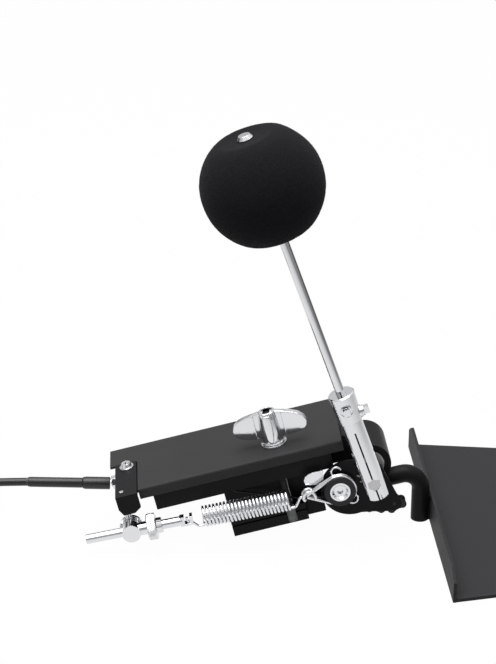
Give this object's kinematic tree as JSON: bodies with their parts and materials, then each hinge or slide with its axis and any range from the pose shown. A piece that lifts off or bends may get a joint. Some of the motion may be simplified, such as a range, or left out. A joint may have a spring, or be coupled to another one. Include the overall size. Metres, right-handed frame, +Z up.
{
  "type": "bass drum pedal beater unit",
  "caption": "Cable-driven bass drum beater unit: inclined frame with a sprung swinging beater, clamped on a bent bar whose flat plate goes under the drum.",
  "frame": {"origin": "middle of the base plate's underside", "axes": "+Z up, +X away from the beater unit towards the drum, +Y to the back, along the plate's flange"},
  "size_m": [0.6341, 0.276, 0.3848],
  "materials": {
    "black_paint": "satin black powder coat",
    "plate_coat": "matt textured black coat",
    "chrome": "polished chrome plate",
    "bright_steel": "bright steel",
    "dark_steel": "blackened steel",
    "felt": "black soft foam with a short nap",
    "grey_rubber": "grey rubber",
    "cable_plastic": "glossy black cable jacket"
  },
  "bodies": {
    "frame": {"top_cover": "black_paint", "channel_frame": "black_paint", "receiver_block": "black_paint", "bearing_housing": "black_paint", "bearing_outer_front": "bright_steel", "bearing_outer_back": "bright_steel", "wing_bolt_washer": "chrome", "swivel_post": "chrome", "swivel_post_rivet": "chrome", "cable_bracket": "black_paint", "bracket_screw": "chrome", "cable_lock_nut_outer": "chrome", "cable_lock_nut_inner": "chrome", "cable_ferrule": "chrome", "cable_sleeve_large": "cable_plastic", "cable_sleeve_small": "cable_plastic", "cable_jacket": "cable_plastic", "cable_coil": "cable_plastic", "cable_tail": "cable_plastic", "cable_end_ferrule": "chrome", "cable_end_nut": "chrome", "cable_end_wire": "bright_steel", "levelling_nut": "chrome"},
    "gooseneck": {"base_plate": "plate_coat", "gooseneck_bar": "black_paint"},
    "wing_bolt": {"wing_bolt": "chrome"},
    "levelling_screw": {"levelling_screw": "dark_steel", "levelling_tip": "grey_rubber"},
    "beater": {"beater_shaft": "bright_steel", "shaft_collar": "bright_steel", "shaft_collar_screw": "dark_steel", "bearing_inner_front": "bright_steel", "bearing_inner_back": "bright_steel", "rocker_plate": "black_paint", "chain_anchor_pin": "chrome", "pivot_screw": "chrome", "beater_hub": "chrome"},
    "hub_clamp_bolt": {"hub_clamp_bolt": "chrome"},
    "rod_height_bolt": {"rod_height_bolt": "chrome"},
    "rod_angle_bolt": {"rod_angle_bolt": "chrome"},
    "beater_rod": {"beater_rod": "chrome", "beater_head": "felt", "beater_head_cap": "chrome"},
    "spring_bail": {"spring_bail": "chrome", "pivot_ring": "bright_steel"},
    "swivel": {"swivel_barrel": "chrome", "tension_rod": "chrome", "return_spring": "chrome"},
    "thumb_nut": {"thumb_nut": "chrome"},
    "cable_pull": {"chain_clevis": "bright_steel", "inner_wire": "bright_steel", "drive_chain": "dark_steel"}
  },
  "joints": [
    {"name": "bar_slide", "type": "slide", "parent": "frame", "child": "gooseneck", "axis": [0.9724, 0, 0.2334], "range_m": [0, 0.03]},
    {"name": "wing_bolt_turn", "type": "hinge", "parent": "frame", "child": "wing_bolt", "pos_m": [-0.2088, -0.0105, 0.08594], "axis": [-0.2334, 0, 0.9724], "range_deg": [-180, 180]},
    {"name": "levelling_screw_height", "type": "slide", "parent": "frame", "child": "levelling_screw", "axis": [-0.2334, 0, 0.9724], "range_m": [-0.008, 0]},
    {"name": "beater_swing", "type": "hinge", "parent": "frame", "child": "beater", "pos_m": [-0.127, 0.008, 0.0665], "axis": [0, 1, 0], "range_deg": [0, 50], "stiffness_Nm_per_rad": 0.6, "springref_deg": -20.05, "deforming": ["return_spring", "drive_chain", "inner_wire"]},
    {"name": "hub_clamp_bolt_turn", "type": "hinge", "parent": "beater", "child": "hub_clamp_bolt", "pos_m": [-0.12791, -0.046, 0.09482], "axis": [0.9426, 0, 0.3338], "range_deg": [-180, 180]},
    {"name": "rod_height_bolt_turn", "type": "hinge", "parent": "beater", "child": "rod_height_bolt", "pos_m": [-0.13843, -0.046, 0.13353], "axis": [0.9426, 0, 0.3338], "range_deg": [-180, 180]},
    {"name": "rod_angle_bolt_turn", "type": "hinge", "parent": "beater", "child": "rod_angle_bolt", "pos_m": [-0.15237, -0.055, 0.13814], "axis": [0, -1, 0], "range_deg": [-180, 180]},
    {"name": "rod_height", "type": "slide", "parent": "beater", "child": "beater_rod", "axis": [-0.3338, 0, 0.9426], "range_m": [0, 0.025]},
    {"name": "spring_bail_turn", "type": "hinge", "parent": "beater", "child": "spring_bail", "pos_m": [-0.15508, -0.043, 0.05667], "axis": [0, 1, 0], "range_deg": [-59.28, 2]},
    {"name": "spring_tilt", "type": "hinge", "parent": "frame", "child": "swivel", "pos_m": [-0.33348, -0.043, 0.02269], "axis": [0, 1, 0], "range_deg": [-9.28, 2]},
    {"name": "thumb_nut_turn", "type": "hinge", "parent": "swivel", "child": "thumb_nut", "pos_m": [-0.33348, -0.043, 0.02269], "axis": [0.9823, 0, 0.1871], "range_deg": [-360, 360]},
    {"name": "cable_travel", "type": "slide", "parent": "frame", "child": "cable_pull", "axis": [-0.9878, 0.1334, 0.0799], "range_m": [-0.001, 0.03204]}
  ],
  "couplings": [
    {"joint": "spring_bail_turn", "follows": "beater_swing", "ratio": -1.1456},
    {"joint": "spring_tilt", "follows": "beater_swing", "ratio": -0.1456},
    {"joint": "cable_travel", "follows": "beater_swing", "m_per_rad": 0.035573}
  ]
}
